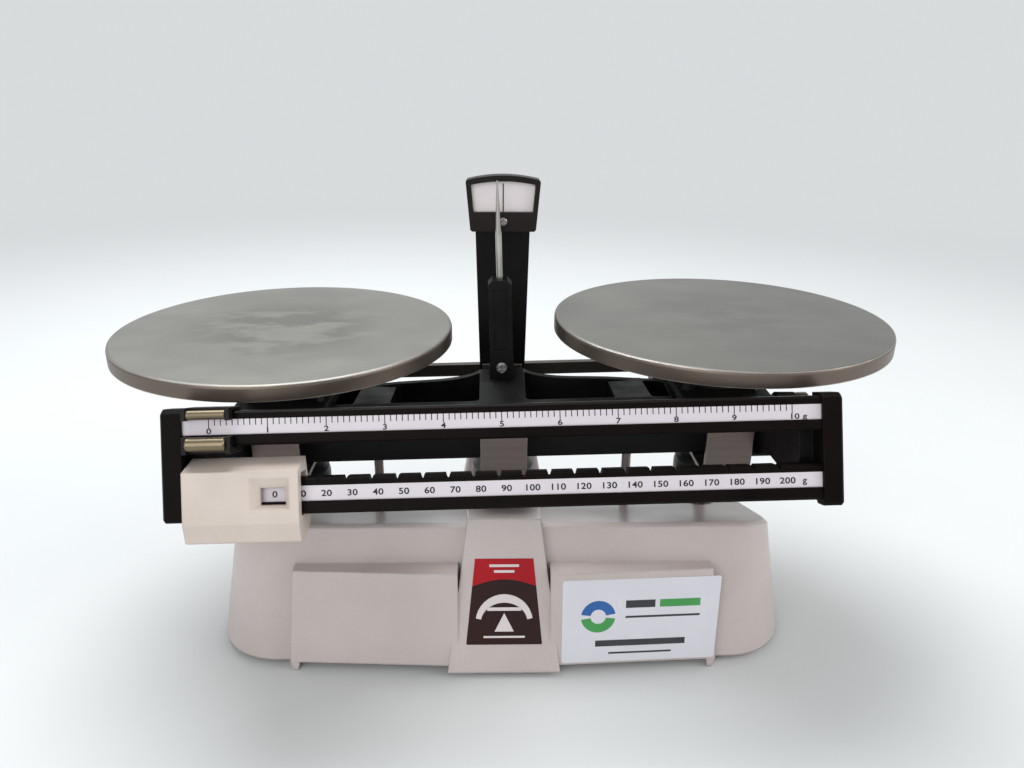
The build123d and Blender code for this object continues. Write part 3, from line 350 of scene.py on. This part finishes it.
# Plate steel: fine turning marks about the centre, wiped smears, a warmer, darker rim that is painted shade,
# and a painted highlight along the edges
plateLook = {
    "light": (0.250, 0.242, 0.222), "dull": (0.205, 0.200, 0.183), "stainColour": (0.115, 0.112, 0.102),
    "turnColour": (0.14, 0.136, 0.125), "rimShadeColour": (0.165, 0.130, 0.108), "edgeHighlightColour": (0.72, 0.66, 0.60),
    "turnScale": 2600.0, "turnShare": 0.12, "turnSpan": (0.40, 0.62), "cloudSpan": (0.36, 0.68),
    "smearSpan": (0.44, 0.53), "stainReach": (0.060, 0.018), "rimTilt": (0.3, 0.8), "rough": (0.30, 0.50),
    "metal": 0.85, "bump": 0.05, "bumpDepth": 0.0001, "edgeRadius": 0.0008, "wearScale": 120.0,
    "turnDetail": 2.0, "cloudGrain": {"Fine_Scale": 420.0, "Broad_Scale": 24.0},
    "smearGrain": {"Fine_Scale": 700.0, "Broad_Scale": 42.0, "Stretch": (0.6, 1.15, 1.0)},
}


def makePlateSteel(name, side, stain, shadeFactor):
    material = bpy.data.materials.new(name)
    material.use_nodes = True
    tree = material.node_tree
    shader = tree.nodes["Principled BSDF"]
    place = addNode(tree, "ShaderNodeTexCoord")
    offset = addNode(tree, "ShaderNodeVectorMath", operation="SUBTRACT")
    tree.links.new(place.outputs["Object"], offset.inputs[0])
    offset.inputs[1].default_value = (side * balance["arm"] * mm, fulcrumY * mm, balance["plateTop"] * mm)
    flat = addNode(tree, "ShaderNodeVectorMath", operation="MULTIPLY")
    tree.links.new(offset.outputs[0], flat.inputs[0])
    flat.inputs[1].default_value = (1.0, 1.0, 0.0)
    reach = addNode(tree, "ShaderNodeVectorMath", operation="LENGTH")
    tree.links.new(flat.outputs[0], reach.inputs[0])
    turned = addNode(tree, "ShaderNodeTexNoise", noise_dimensions="1D", in_Scale=plateLook["turnScale"],
                     in_Detail=plateLook["turnDetail"])
    tree.links.new(reach.outputs["Value"], turned.inputs["W"])
    grain = placeGroup(tree, castGrain, **plateLook["cloudGrain"])
    wiped = placeGroup(tree, castGrain, **plateLook["smearGrain"])
    edgeMask = placeGroup(tree, edgeWearAndHighlight, Radius=plateLook["edgeRadius"], Breakup=0.0,
                      Scale=plateLook["wearScale"])

    def mask(source, span, most=1.0):
        return ramp(tree, source, list(zip(plateLook[span], (0.0, most))))

    clouds = mask(grain.outputs["Broad"], "cloudSpan")
    light, dull = (tuple(shadeFactor * part for part in plateLook[key]) for key in ("light", "dull"))
    colour = mixColour(tree, clouds, light, dull)
    middle = addNode(tree, "ShaderNodeMapRange", clamp=True, interpolation_type="SMOOTHSTEP")
    middle.inputs["From Min"].default_value, middle.inputs["From Max"].default_value = plateLook["stainReach"]
    tree.links.new(reach.outputs["Value"], middle.inputs["Value"])
    smear = mask(wiped.outputs["Broad"], "smearSpan")
    stained = multiplied(tree, multiplied(tree, smear, middle.outputs["Result"]), stain)
    colour = mixColour(tree, stained, colour, plateLook["stainColour"])
    lines = mask(turned.outputs["Fac"], "turnSpan", plateLook["turnShare"])
    colour = mixColour(tree, lines, colour, plateLook["turnColour"])
    # Upright rim faces take a darker, warmer colour: painted shade
    shape = addNode(tree, "ShaderNodeNewGeometry")
    split = addNode(tree, "ShaderNodeSeparateXYZ")
    tree.links.new(shape.outputs["Normal"], split.inputs[0])
    upright, lying = plateLook["rimTilt"]
    edge = ramp(tree, split.outputs["Z"], [(upright, 1.0), (lying, 0.0)])
    colour = mixColour(tree, edge, colour, plateLook["rimShadeColour"])
    # A light colour along the plate's edges: painted highlight
    colour = mixColour(tree, edgeMask.outputs["Mask"], colour, plateLook["edgeHighlightColour"])
    tree.links.new(colour, shader.inputs["Base Color"])
    rough = addNode(tree, "ShaderNodeMapRange")
    rough.inputs["To Min"].default_value, rough.inputs["To Max"].default_value = plateLook["rough"]
    tree.links.new(wiped.outputs["Broad"], rough.inputs["Value"])
    tree.links.new(rough.outputs["Result"], shader.inputs["Roughness"])
    shader.inputs["Metallic"].default_value = plateLook["metal"]
    bump = addNode(tree, "ShaderNodeBump", in_Strength=plateLook["bump"], in_Distance=plateLook["bumpDepth"])
    tree.links.new(turned.outputs["Fac"], bump.inputs["Height"])
    tree.links.new(edgeMask.outputs["Normal"], bump.inputs["Normal"])
    tree.links.new(bump.outputs["Normal"], shader.inputs["Normal"])
    return material


# The right plate is drawn darker than the left, which is painted shade on the same steel
materials["leftPlateSteel"] = makePlateSteel("leftPlateSteel", -1, stain=0.75, shadeFactor=1.0)
materials["rightPlateSteel"] = makePlateSteel("rightPlateSteel", 1, stain=0.25, shadeFactor=0.88)
print("plate steel")

nodeFinish = {
    "housingEnamel": ["base_housing", "link_hanger"],
    "rubber": ["rubber_feet"],
    "capDark": ["left_dust_cap", "right_dust_cap"],
    "postGrey": ["fulcrum_post"],
    "bracketSteel": ["fulcrum_bracket", "left_pan_bracket", "right_pan_bracket"],
    "bearingSteel": ["fulcrum_bearings", "left_bearings", "right_bearings", "fulcrum_knife", "left_knife",
                     "right_knife"],
    "polishedSteel": ["stop_posts", "pointer_needle", "left_stem", "right_stem", "left_stem_pin",
                      "right_stem_pin", "link_pivot_pin"],
    "castBlack": ["tower", "main_beam", "left_front_arm", "right_front_arm", "left_rear_arm",
                  "right_rear_arm", "pointer_holder"],
    "barBlack": ["left_end_plate", "right_end_plate", "upper_beam", "lower_beam"],
    "tareGrey": ["tare_beam"],
    "dialDark": ["dial_housing"],
    "dialWhite": ["dial_face"],
    "screwSteel": ["dial_screw", "arm_screws", "pointer_screw"],
    "linkSteel": ["check_link", "lower_poise_detent"],
    "iron": ["end_ballast"],
    "stripWhite": ["upper_scale_strip", "lower_scale_strip"],
    "brass": ["zero_stud", "zero_lock_nut", "upper_poise_rods"],
    "nutDark": ["zero_nut"],
    "poiseCream": ["lower_poise_case"],
    "poiseBlack": ["upper_poise_carrier", "tare_poise"],
    "carrierGrey": ["left_carrier", "right_carrier", "left_plate_support", "right_plate_support"],
    "leftPlateSteel": ["left_plate"],
    "rightPlateSteel": ["right_plate"],
}
for finishName, names in nodeFinish.items():
    for nodeName in names:
        slots = nodes[nodeName].data.materials
        slots.clear()
        slots.append(materials[finishName])
print("finished nodes", sum(len(names) for names in nodeFinish.values()))


# Graduations and numbers on both strips

# stripTop and stripLow are the strip's edges, measured down the slope from the top of the front
lettering = {"between": 1.05, "bolder": 0.022, "capital": 0.73, "thick": 0.03}
marks = {"minorLong": 2.3, "majorLong": 3.3, "wide": 0.34, "digitHigh": 2.0, "digitSpread": 1.35,
         "zeroX": -108.2, "perGram": 21.53, "grams": 10, "parts": 10, "unitShift": 2.2, "margin": 0.45,
         "stripTop": 4.2, "stripLow": 9.9}
numbers = {"zeroX": -84.7, "perTen": 9.48, "tens": 20, "digitHigh": 2.35, "digitSpread": 1.2, "unitGap": 6.4,
           "unitSpread": 1.1, "stripTop": 29.4, "stripLow": 35.1}


def textMesh(body, high, spread):
    curve = bpy.data.curves.new("lettering", "FONT")
    curve.body = body
    curve.align_x = "CENTER"
    curve.space_character = lettering["between"]
    curve.offset = lettering["bolder"]
    holder = bpy.data.objects.new("lettering", curve)
    bpy.context.scene.collection.objects.link(holder)
    bpy.context.view_layer.update()
    mesh = bpy.data.meshes.new_from_object(holder.evaluated_get(bpy.context.evaluated_depsgraph_get()))
    bpy.data.objects.remove(holder)
    size = high / lettering["capital"]
    mesh.transform(Matrix.Diagonal((size * spread, size, 1, 1)))
    return mesh


def addLettering(bm, body, high, x, down, lift, spread):
    mesh = textMesh(body, high, spread)
    before = len(bm.verts)
    bm.from_mesh(mesh)
    bm.verts.ensure_lookup_table()
    fresh = bm.verts[before:]
    bmesh.ops.translate(bm, verts=fresh, vec=(x, -down, lift))
    bpy.data.meshes.remove(mesh)


def makeUpperMarks():
    bm = bmesh.new()
    base = -frontFace["setback"]
    top = base + lettering["thick"]
    half = marks["wide"] / 2
    for step in range(marks["grams"] * marks["parts"] + 1):
        x = marks["zeroX"] + step * marks["perGram"] / marks["parts"]
        long = marks["minorLong"] if step % marks["parts"] else marks["majorLong"]
        addBlock(bm, x - half, x + half, -marks["stripTop"] - long, -marks["stripTop"], base, top)
    foot = marks["stripLow"] - marks["margin"]
    for gram in range(marks["grams"]):
        x = marks["zeroX"] + gram * marks["perGram"]
        addLettering(bm, str(gram), marks["digitHigh"], x, foot, top, marks["digitSpread"])
    lastX = marks["zeroX"] + marks["grams"] * marks["perGram"] + marks["unitShift"]
    addLettering(bm, "10 g", marks["digitHigh"], lastX, foot, top, marks["digitSpread"])
    placed(pieceFrom("upperGraduations", bm, materials["inkBlack"], place=onFace), "beam")


def makeLowerNumbers():
    bm = bmesh.new()
    top = lettering["thick"] - frontFace["setback"]
    low = numbers["stripTop"] + (numbers["stripLow"] - numbers["stripTop"] + numbers["digitHigh"]) / 2
    for step in range(numbers["tens"] + 1):
        x = numbers["zeroX"] + step * numbers["perTen"]
        addLettering(bm, str(step * 10), numbers["digitHigh"], x, low, top, numbers["digitSpread"])
    lastX = numbers["zeroX"] + numbers["tens"] * numbers["perTen"] + numbers["unitGap"]
    addLettering(bm, "g", numbers["digitHigh"], lastX, low, top, numbers["unitSpread"])
    placed(pieceFrom("lowerNumbers", bm, materials["inkBlack"], place=onFace), "beam")


makeUpperMarks()
makeLowerNumbers()
print("graduations")


# Labels on the front of the housing, laid on its painted faces

def skinOf(nodeName):
    # Gives the place on a node's front at X and Z
    holder = nodes[nodeName]
    bpy.context.view_layer.update()
    surface = BVHTree.FromObject(holder, bpy.context.evaluated_depsgraph_get())
    farFront = -300
    ahead = Vector((0, 1, 0))

    def onSkin(x, z):
        spot, _, _, _ = surface.ray_cast(Vector((x, farFront, z)) * mm, ahead)
        return spot / mm

    return onSkin


def facePlane(onSkin, spots):
    # The plane through three places on a skin, so that a sheet stays flat at its corners
    first, second, third = (onSkin(x, z) for x, z in spots)
    normal = (second - first).cross(third - first).normalized()
    normal = normal if normal.y < 0 else -normal

    def at(x, z, lift):
        y = first.y - (normal.x * (x - first.x) + normal.z * (z - first.z)) / normal.y
        return Vector((x, y, z)) + normal * lift

    return at


housingSkin = skinOf("base_housing")


def addPatch(bm, at, outline, lift, slot):
    face = bm.faces.new([bm.verts.new(at(x, z, lift)) for x, z in outline])
    face.material_index = slot
    face.normal_update()
    if face.normal.y > 0:
        face.normal_flip()


def roundedQuad(corners, radius, steps=5):
    outline = []
    count = len(corners)
    for i, corner in enumerate(corners):
        here = Vector(corner)
        before = (Vector(corners[i - 1]) - here).normalized()
        after = (Vector(corners[(i + 1) % count]) - here).normalized()
        first, last = here + before * radius, here + after * radius
        for step in range(steps + 1):
            t = step / steps
            outline.append(tuple((1 - t) ** 2 * first + 2 * t * (1 - t) * here + t * t * last))
    return outline


def bar(x0, x1, z, high):
    return [(x0, z), (x1, z), (x1, z + high), (x0, z + high)]


def arc(middle, reachX, reachZ, angles):
    return [(middle[0] + reachX * cos(a), middle[1] + reachZ * sin(a)) for a in angles]


# Bars are given by X at both ends, Z at the foot and their height, and on the sticker by their colour too
pylonLabel = {
    "top": 53.0, "foot": 15.2, "topHalf": 12.6, "footHalf": 16.6, "corner": 0.8, "lift": 0.12, "layer": 0.04,
    "probes": [(-10, 20), (10, 20), (0, 50)], "bandFoot": 41.0, "bandRise": 3.0, "bandSteps": 12,
    "arch": (0.0, 25.0), "archOut": 12.5, "archIn": 10.2, "archSquash": 0.86, "archSteps": 20,
    "mark": [(-4.2, 21.0), (4.2, 21.0), (0.0, 29.2)], "crossbar": (-7.4, 7.4, 30.2, 1.5),
    "bars": [(-6.4, 6.4, 49.4, 1.1), (-4.4, 4.4, 46.9, 1.1), (-9.0, 9.0, 18.2, 0.9)],
}


def makePylonLabel():
    # A red plate that darkens to maroon, with a pale arch over a fulcrum mark
    label = pylonLabel
    bm = bmesh.new()
    at = facePlane(housingSkin, label["probes"])
    top, foot, lift, layer = (label[key] for key in ("top", "foot", "lift", "layer"))
    maroon, red, pale = range(3)

    def half(z):
        return label["topHalf"] + (top - z) * (label["footHalf"] - label["topHalf"]) / (top - foot)

    sheet = [(-half(foot), foot), (half(foot), foot), (half(top), top), (-half(top), top)]
    addPatch(bm, at, roundedQuad(sheet, label["corner"]), lift, maroon)
    bandFoot, steps = label["bandFoot"], label["bandSteps"]
    bandHalf = half(bandFoot)
    band = []
    for step in range(steps + 1):
        share = step / steps
        band.append((bandHalf * (2 * share - 1), bandFoot + label["bandRise"] * sin(pi * share)))
    addPatch(bm, at, band + [(half(top), top), (-half(top), top)], lift + layer, red)
    angles = [pi * i / label["archSteps"] for i in range(1, label["archSteps"])]
    outer = arc(label["arch"], label["archOut"], label["archOut"], angles)
    inner = arc(label["arch"], label["archIn"], label["archIn"] * label["archSquash"], reversed(angles))
    for outline in (outer + inner, label["mark"], bar(*label["crossbar"])):
        addPatch(bm, at, outline, lift + layer, pale)
    for sizes in label["bars"]:
        addPatch(bm, at, bar(*sizes), lift + 2 * layer, pale)
    piece = pieceFrom("pylonLabel", bm, materials["labelMaroon"], sheet=True)
    piece.data.materials.append(materials["labelRed"])
    piece.data.materials.append(materials["labelPale"])
    placed(piece, "base")


sticker = {
    "left": 25.2, "right": 94.8, "foot": 5.6, "top": 45.0, "draft": 1.2, "corner": 1.2, "lift": 0.12,
    "layer": 0.04, "probes": [(35, 12), (85, 12), (60, 36)], "ring": (41.0, 27.5), "ringOut": 7.6,
    "ringIn": 3.4, "ringGap": 0.3, "ringSteps": 14,
    "bars": [(53.0, 66.0, 31.2, 3.6, 3), (68.0, 86.0, 31.2, 3.6, 2), (53.0, 86.0, 26.4, 1.0, 3),
             (40.0, 80.0, 13.0, 3.0, 3), (46.0, 74.0, 9.2, 0.9, 3)],
}


def makeSticker():
    # A plain pale sheet with a two-colour ring and bare bars
    bm = bmesh.new()
    at = facePlane(housingSkin, sticker["probes"])
    lift, layer = sticker["lift"], sticker["layer"]
    left, right, foot, top = (sticker[key] for key in ("left", "right", "foot", "top"))
    sheet = [(left, foot), (right - sticker["draft"], foot), (right, top), (left, top)]
    addPatch(bm, at, roundedQuad(sheet, sticker["corner"]), lift, 0)
    blue, green = 1, 2
    for slot, begin in ((blue, 0), (green, pi)):
        sweep = (pi - sticker["ringGap"]) / sticker["ringSteps"]
        angles = [begin + sticker["ringGap"] / 2 + sweep * i for i in range(sticker["ringSteps"] + 1)]
        outer = arc(sticker["ring"], sticker["ringOut"], sticker["ringOut"], angles)
        inner = arc(sticker["ring"], sticker["ringIn"], sticker["ringIn"], reversed(angles))
        addPatch(bm, at, outer + inner, lift + layer, slot)
    for x0, x1, z, high, slot in sticker["bars"]:
        addPatch(bm, at, bar(x0, x1, z, high), lift + layer, slot)
    piece = pieceFrom("panelSticker", bm, materials["stickerWhite"], sheet=True)
    for key in ("stickerBlue", "stickerGreen", "stickerInk"):
        piece.data.materials.append(materials[key])
    placed(piece, "base")


makePylonLabel()
makeSticker()
print("labels")


# Index line behind the pointer tip

dialIndex = {"half": 0.28, "proud": 0.03, "sunk": 0.1, "footGap": 0.1, "topGap": 1.2}


def makeDialIndex():
    low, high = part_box("dial_face")
    low, high = low / mm, high / mm
    half = dialIndex["half"]
    bm = bmesh.new()
    addBlock(bm, -half, half, low.y - dialIndex["proud"], low.y + dialIndex["sunk"],
             low.z + dialIndex["footGap"], high.z - dialIndex["topGap"])
    placed(pieceFrom("dialIndex", bm, materials["inkBlack"]), "base")


makeDialIndex()


# Knurled adjusting nut

knurl = {"ridges": 60, "depth": 0.35, "chamfer": 1.0}


def makeZeroNut():
    low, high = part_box("zero_nut")
    low, high = low / mm, high / mm
    middle = (low + high) / 2
    radius = (high.y - low.y) / 2
    chamfer = knurl["chamfer"]
    count = knurl["ridges"] * 2
    bm = bmesh.new()
    rings = []
    for x, inset in ((low.x, chamfer), (low.x + chamfer, 0), (high.x - chamfer, 0), (high.x, chamfer)):
        ring = []
        for i in range(count):
            r = radius - inset - (knurl["depth"] if i % 2 else 0)
            a = 2 * pi * i / count
            ring.append(bm.verts.new((x, middle.y + r * cos(a), middle.z + r * sin(a))))
        rings.append(ring)
    for first, second in zip(rings, rings[1:]):
        for i in range(count):
            j = (i + 1) % count
            bm.faces.new((first[i], first[j], second[j], second[i]))
    bm.faces.new(rings[0])
    bm.faces.new(rings[-1])
    nut = pieceFrom("knurledNut", bm, materials["nutDark"])
    placed(nut, "zero_adjuster", "zero_nut", slot="nut_dark")


makeZeroNut()
print("index and nut")


# Camera, floor and light

# place is in millimetres from the fulcrum edge, the turns are in degrees, and nearest is in metres
view = {"place": (-4.13, -352.2, 245.3), "pitch": 21.08, "yaw": 1.37, "roll": 0.43, "lens": 27.67,
        "sensor": 36.0, "nearest": 0.01}


def makeCamera():
    pitch, yaw, roll = (radians(view[key]) for key in ("pitch", "yaw", "roll"))
    ahead = Vector((sin(yaw) * cos(pitch), cos(yaw) * cos(pitch), -sin(pitch)))
    right = Vector((cos(yaw), -sin(yaw), 0))
    up = right.cross(ahead)
    rolledRight = cos(roll) * right + sin(roll) * up
    rolledUp = -sin(roll) * right + cos(roll) * up
    turn = Matrix((rolledRight, rolledUp, -ahead)).transposed().to_4x4()
    data = bpy.data.cameras.new("camera")
    data.lens = view["lens"]
    data.sensor_width = view["sensor"]
    data.clip_start = view["nearest"]
    camera = bpy.data.objects.new("camera", data)
    camera.matrix_world = level @ Matrix.Translation(Vector(view["place"]) * mm) @ turn
    bpy.context.scene.collection.objects.link(camera)
    bpy.context.scene.camera = camera


backdrop = (0.69, 0.71, 0.72)
floorLook = {"half": 3000, "near": 0.45, "far": 1.5, "light": (0.69, 0.70, 0.70), "dull": (0.64, 0.65, 0.65),
             "rough": 0.6, "specular": 0.2, "fineScale": 300.0, "broadScale": 5.0}


def makeFloor():
    # Pale near the balance; far away the camera sees it fade into the backdrop
    bm = bmesh.new()
    bmesh.ops.create_grid(bm, x_segments=1, y_segments=1, size=floorLook["half"])
    material = bpy.data.materials.new("floorPale")
    material.use_nodes = True
    tree = material.node_tree
    shader = tree.nodes["Principled BSDF"]
    grain = placeGroup(tree, castGrain, Fine_Scale=floorLook["fineScale"],
                       Broad_Scale=floorLook["broadScale"])
    colour = mixColour(tree, grain.outputs["Broad"], floorLook["light"], floorLook["dull"])
    tree.links.new(colour, shader.inputs["Base Color"])
    shader.inputs["Roughness"].default_value = floorLook["rough"]
    shader.inputs["Specular IOR Level"].default_value = floorLook["specular"]
    place = addNode(tree, "ShaderNodeTexCoord")
    reach = addNode(tree, "ShaderNodeVectorMath", operation="LENGTH")
    tree.links.new(place.outputs["Object"], reach.inputs[0])
    fade = addNode(tree, "ShaderNodeMapRange", clamp=True, interpolation_type="SMOOTHSTEP")
    fade.inputs["From Min"].default_value = floorLook["near"]
    fade.inputs["From Max"].default_value = floorLook["far"]
    tree.links.new(reach.outputs["Value"], fade.inputs["Value"])
    paths = addNode(tree, "ShaderNodeLightPath")
    seen = multiplied(tree, fade.outputs["Result"], paths.outputs["Is Camera Ray"])
    glow = addNode(tree, "ShaderNodeEmission")
    glow.inputs["Color"].default_value = (*backdrop, 1)
    blend = addNode(tree, "ShaderNodeMixShader")
    tree.links.new(seen, blend.inputs[0])
    tree.links.new(shader.outputs["BSDF"], blend.inputs[1])
    tree.links.new(glow.outputs["Emission"], blend.inputs[2])
    tree.links.new(blend.outputs["Shader"], tree.nodes["Material Output"].inputs["Surface"])
    pieceFrom("floor", bm, material)


# Places and sizes are in millimetres, and power in watts
lampAim = (0, 0, 80)
lamps = {
    "roofPanel": {"place": (-250, 500, 1300), "size": 900, "power": 18.0, "colour": (0.97, 0.99, 1.0)},
    "sidePanel": {"place": (1100, -300, 700), "size": 700, "power": 5.0, "colour": (1.0, 0.98, 0.95)},
    "frontPanel": {"place": (-500, -1100, 600), "size": 900, "power": 5.2, "colour": (1.0, 0.985, 0.97)},
}


def makeLamps():
    for name, lamp in lamps.items():
        data = bpy.data.lights.new(name, "AREA")
        data.size = lamp["size"] * mm
        data.energy = lamp["power"]
        data.color = lamp["colour"]
        holder = bpy.data.objects.new(name, data)
        start = Vector(lamp["place"]) * mm
        aim = (Vector(lampAim) * mm - start).to_track_quat("-Z", "Y")
        holder.matrix_world = Matrix.Translation(start) @ aim.to_matrix().to_4x4()
        bpy.context.scene.collection.objects.link(holder)


sky = {"colour": (0.86, 0.90, 0.93), "strength": 0.62}


def makeWorld():
    # The camera and mirror-like surfaces see a pale backdrop; the light itself is softer
    world = bpy.data.worlds.new("studio")
    world.use_nodes = True
    bpy.context.scene.world = world
    tree = world.node_tree
    lit = tree.nodes["Background"]
    lit.inputs["Color"].default_value = (*sky["colour"], 1)
    lit.inputs["Strength"].default_value = sky["strength"]
    seen = addNode(tree, "ShaderNodeBackground")
    seen.inputs["Color"].default_value = (*backdrop, 1)
    paths = addNode(tree, "ShaderNodeLightPath")
    either = addNode(tree, "ShaderNodeMath", operation="MAXIMUM")
    tree.links.new(paths.outputs["Is Camera Ray"], either.inputs[0])
    tree.links.new(paths.outputs["Is Glossy Ray"], either.inputs[1])
    blend = addNode(tree, "ShaderNodeMixShader")
    tree.links.new(either.outputs["Value"], blend.inputs[0])
    tree.links.new(lit.outputs["Background"], blend.inputs[1])
    tree.links.new(seen.outputs["Background"], blend.inputs[2])
    tree.links.new(blend.outputs["Shader"], tree.nodes["World Output"].inputs["Surface"])


makeCamera()
makeFloor()
makeLamps()
makeWorld()
bpy.context.scene.view_settings.view_transform = "Standard"
print("camera, floor and light")
